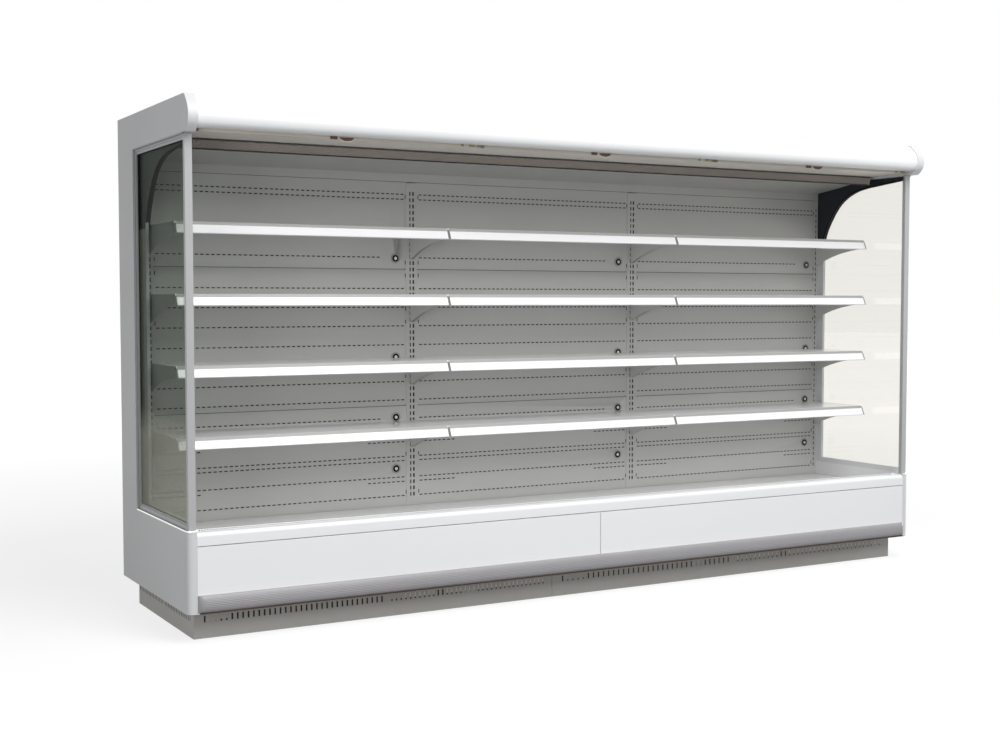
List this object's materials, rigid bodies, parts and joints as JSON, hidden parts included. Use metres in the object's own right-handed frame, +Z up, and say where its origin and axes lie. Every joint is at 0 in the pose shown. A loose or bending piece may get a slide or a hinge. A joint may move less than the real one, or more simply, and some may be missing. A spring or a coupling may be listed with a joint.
{
  "type": "open multideck display fridge",
  "caption": "Open-front refrigerated wall case with shelf bays, glazed end walls, sprung night blinds in the canopy and an insulated tub with fans and a coil below the decks.",
  "frame": {"origin": "on the floor, under the middle of the case's length and depth", "axes": "+X along the case to the right as the shopper faces it, -Y towards the shopper, +Z up"},
  "size_m": [3.83, 1.016, 2.125],
  "materials": {
    "galvanised": "satin",
    "plinth_grey": "satin",
    "foam_panel": "satin",
    "end_wall_white": "satin",
    "aluminium": "satin",
    "pane_glass": "gloss",
    "navy": "satin",
    "white_paint": "gloss",
    "bumper_grey": "satin",
    "shelf_white": "gloss",
    "liner_grey": "satin",
    "honeycomb": "matte",
    "blind_cloth": "matte",
    "blind_cream": "satin",
    "fan_black": "matte"
  },
  "bodies": {
    "cabinet": {"base_frame": "galvanised", "fan_plate": "galvanised", "plinth_left": "plinth_grey", "plinth_right": "plinth_grey", "tub": "foam_panel", "rear_wall": "foam_panel", "roof": "foam_panel", "end_wall_left": "end_wall_white", "end_wall_right": "end_wall_white", "window_frame_left": "aluminium", "window_frame_right": "aluminium", "coil": "aluminium", "window_pane_left": "pane_glass", "window_pane_right": "pane_glass", "corner_fairing_left": "navy", "corner_fairing_right": "navy", "front_panel_left": "white_paint", "front_panel_right": "white_paint", "handrail": "white_paint", "canopy_front": "white_paint", "bumper": "bumper_grey", "return_air_grille": "shelf_white", "canopy_soffit": "liner_grey", "duct_ceiling": "liner_grey", "liner_panel_1": "liner_grey", "liner_panel_2": "liner_grey", "liner_panel_3": "liner_grey", "upright_1": "liner_grey", "upright_2": "liner_grey", "upright_3": "liner_grey", "upright_4": "liner_grey", "air_outlet": "honeycomb"},
    "blind_1": {"blind_bar_1": "blind_cream", "blind_cloth_1": "blind_cloth"},
    "roller_1": {"blind_roller_1": "blind_cloth"},
    "fan_1": {"fan_1": "fan_black"},
    "deck_1": {"deck_1": "shelf_white"},
    "blind_2": {"blind_bar_2": "blind_cream", "blind_cloth_2": "blind_cloth"},
    "roller_2": {"blind_roller_2": "blind_cloth"},
    "fan_2": {"fan_2": "fan_black"},
    "deck_2": {"deck_2": "shelf_white"},
    "blind_3": {"blind_bar_3": "blind_cream", "blind_cloth_3": "blind_cloth"},
    "roller_3": {"blind_roller_3": "blind_cloth"},
    "fan_3": {"fan_3": "fan_black"},
    "deck_3": {"deck_3": "shelf_white"},
    "shelf_1_1": {"shelf_1_1": "shelf_white"},
    "shelf_1_2": {"shelf_1_2": "shelf_white"},
    "shelf_1_3": {"shelf_1_3": "shelf_white"},
    "shelf_2_1": {"shelf_2_1": "shelf_white"},
    "shelf_2_2": {"shelf_2_2": "shelf_white"},
    "shelf_2_3": {"shelf_2_3": "shelf_white"},
    "shelf_3_1": {"shelf_3_1": "shelf_white"},
    "shelf_3_2": {"shelf_3_2": "shelf_white"},
    "shelf_3_3": {"shelf_3_3": "shelf_white"},
    "shelf_4_1": {"shelf_4_1": "shelf_white"},
    "shelf_4_2": {"shelf_4_2": "shelf_white"},
    "shelf_4_3": {"shelf_4_3": "shelf_white"}
  },
  "joints": [
    {"name": "blind_1_pull", "type": "slide", "parent": "cabinet", "child": "blind_1", "axis": [0, 0, -1], "range_m": [0, 1.54], "stiffness_N_per_m": 10, "springref_m": -2, "deforming": ["blind_cloth_1"]},
    {"name": "roller_1_turn", "type": "hinge", "parent": "cabinet", "child": "roller_1", "pos_m": [-1.25, -0.458, 2.062], "axis": [1, 0, 0], "range_deg": [-3260, 10]},
    {"name": "fan_1_spin", "type": "hinge", "parent": "cabinet", "child": "fan_1", "pos_m": [-1.25, -0.2073, 0.261], "axis": [0, 0.7071, -0.7071], "continuous": true},
    {"name": "deck_1_lift", "type": "slide", "parent": "cabinet", "child": "deck_1", "axis": [0, 0, 1], "range_m": [0, 0.06]},
    {"name": "blind_2_pull", "type": "slide", "parent": "cabinet", "child": "blind_2", "axis": [0, 0, -1], "range_m": [0, 1.54], "stiffness_N_per_m": 10, "springref_m": -2, "deforming": ["blind_cloth_2"]},
    {"name": "roller_2_turn", "type": "hinge", "parent": "cabinet", "child": "roller_2", "pos_m": [0, -0.458, 2.062], "axis": [1, 0, 0], "range_deg": [-3260, 10]},
    {"name": "fan_2_spin", "type": "hinge", "parent": "cabinet", "child": "fan_2", "pos_m": [0, -0.2073, 0.261], "axis": [0, 0.7071, -0.7071], "continuous": true},
    {"name": "deck_2_lift", "type": "slide", "parent": "cabinet", "child": "deck_2", "axis": [0, 0, 1], "range_m": [0, 0.06]},
    {"name": "blind_3_pull", "type": "slide", "parent": "cabinet", "child": "blind_3", "axis": [0, 0, -1], "range_m": [0, 1.54], "stiffness_N_per_m": 10, "springref_m": -2, "deforming": ["blind_cloth_3"]},
    {"name": "roller_3_turn", "type": "hinge", "parent": "cabinet", "child": "roller_3", "pos_m": [1.25, -0.458, 2.062], "axis": [1, 0, 0], "range_deg": [-3260, 10]},
    {"name": "fan_3_spin", "type": "hinge", "parent": "cabinet", "child": "fan_3", "pos_m": [1.25, -0.2073, 0.261], "axis": [0, 0.7071, -0.7071], "continuous": true},
    {"name": "deck_3_lift", "type": "slide", "parent": "cabinet", "child": "deck_3", "axis": [0, 0, 1], "range_m": [0, 0.06]},
    {"name": "shelf_1_1_lift", "type": "slide", "parent": "cabinet", "child": "shelf_1_1", "axis": [0, 0, 1], "range_m": [0, 0.04]},
    {"name": "shelf_1_2_lift", "type": "slide", "parent": "cabinet", "child": "shelf_1_2", "axis": [0, 0, 1], "range_m": [0, 0.04]},
    {"name": "shelf_1_3_lift", "type": "slide", "parent": "cabinet", "child": "shelf_1_3", "axis": [0, 0, 1], "range_m": [0, 0.04]},
    {"name": "shelf_2_1_lift", "type": "slide", "parent": "cabinet", "child": "shelf_2_1", "axis": [0, 0, 1], "range_m": [0, 0.04]},
    {"name": "shelf_2_2_lift", "type": "slide", "parent": "cabinet", "child": "shelf_2_2", "axis": [0, 0, 1], "range_m": [0, 0.04]},
    {"name": "shelf_2_3_lift", "type": "slide", "parent": "cabinet", "child": "shelf_2_3", "axis": [0, 0, 1], "range_m": [0, 0.04]},
    {"name": "shelf_3_1_lift", "type": "slide", "parent": "cabinet", "child": "shelf_3_1", "axis": [0, 0, 1], "range_m": [0, 0.04]},
    {"name": "shelf_3_2_lift", "type": "slide", "parent": "cabinet", "child": "shelf_3_2", "axis": [0, 0, 1], "range_m": [0, 0.04]},
    {"name": "shelf_3_3_lift", "type": "slide", "parent": "cabinet", "child": "shelf_3_3", "axis": [0, 0, 1], "range_m": [0, 0.04]},
    {"name": "shelf_4_1_lift", "type": "slide", "parent": "cabinet", "child": "shelf_4_1", "axis": [0, 0, 1], "range_m": [0, 0.04]},
    {"name": "shelf_4_2_lift", "type": "slide", "parent": "cabinet", "child": "shelf_4_2", "axis": [0, 0, 1], "range_m": [0, 0.04]},
    {"name": "shelf_4_3_lift", "type": "slide", "parent": "cabinet", "child": "shelf_4_3", "axis": [0, 0, 1], "range_m": [0, 0.04]}
  ],
  "couplings": [
    {"joint": "roller_1_turn", "follows": "blind_1_pull", "rad_per_m": -36.76},
    {"joint": "roller_2_turn", "follows": "blind_2_pull", "rad_per_m": -36.76},
    {"joint": "roller_3_turn", "follows": "blind_3_pull", "rad_per_m": -36.76}
  ]
}
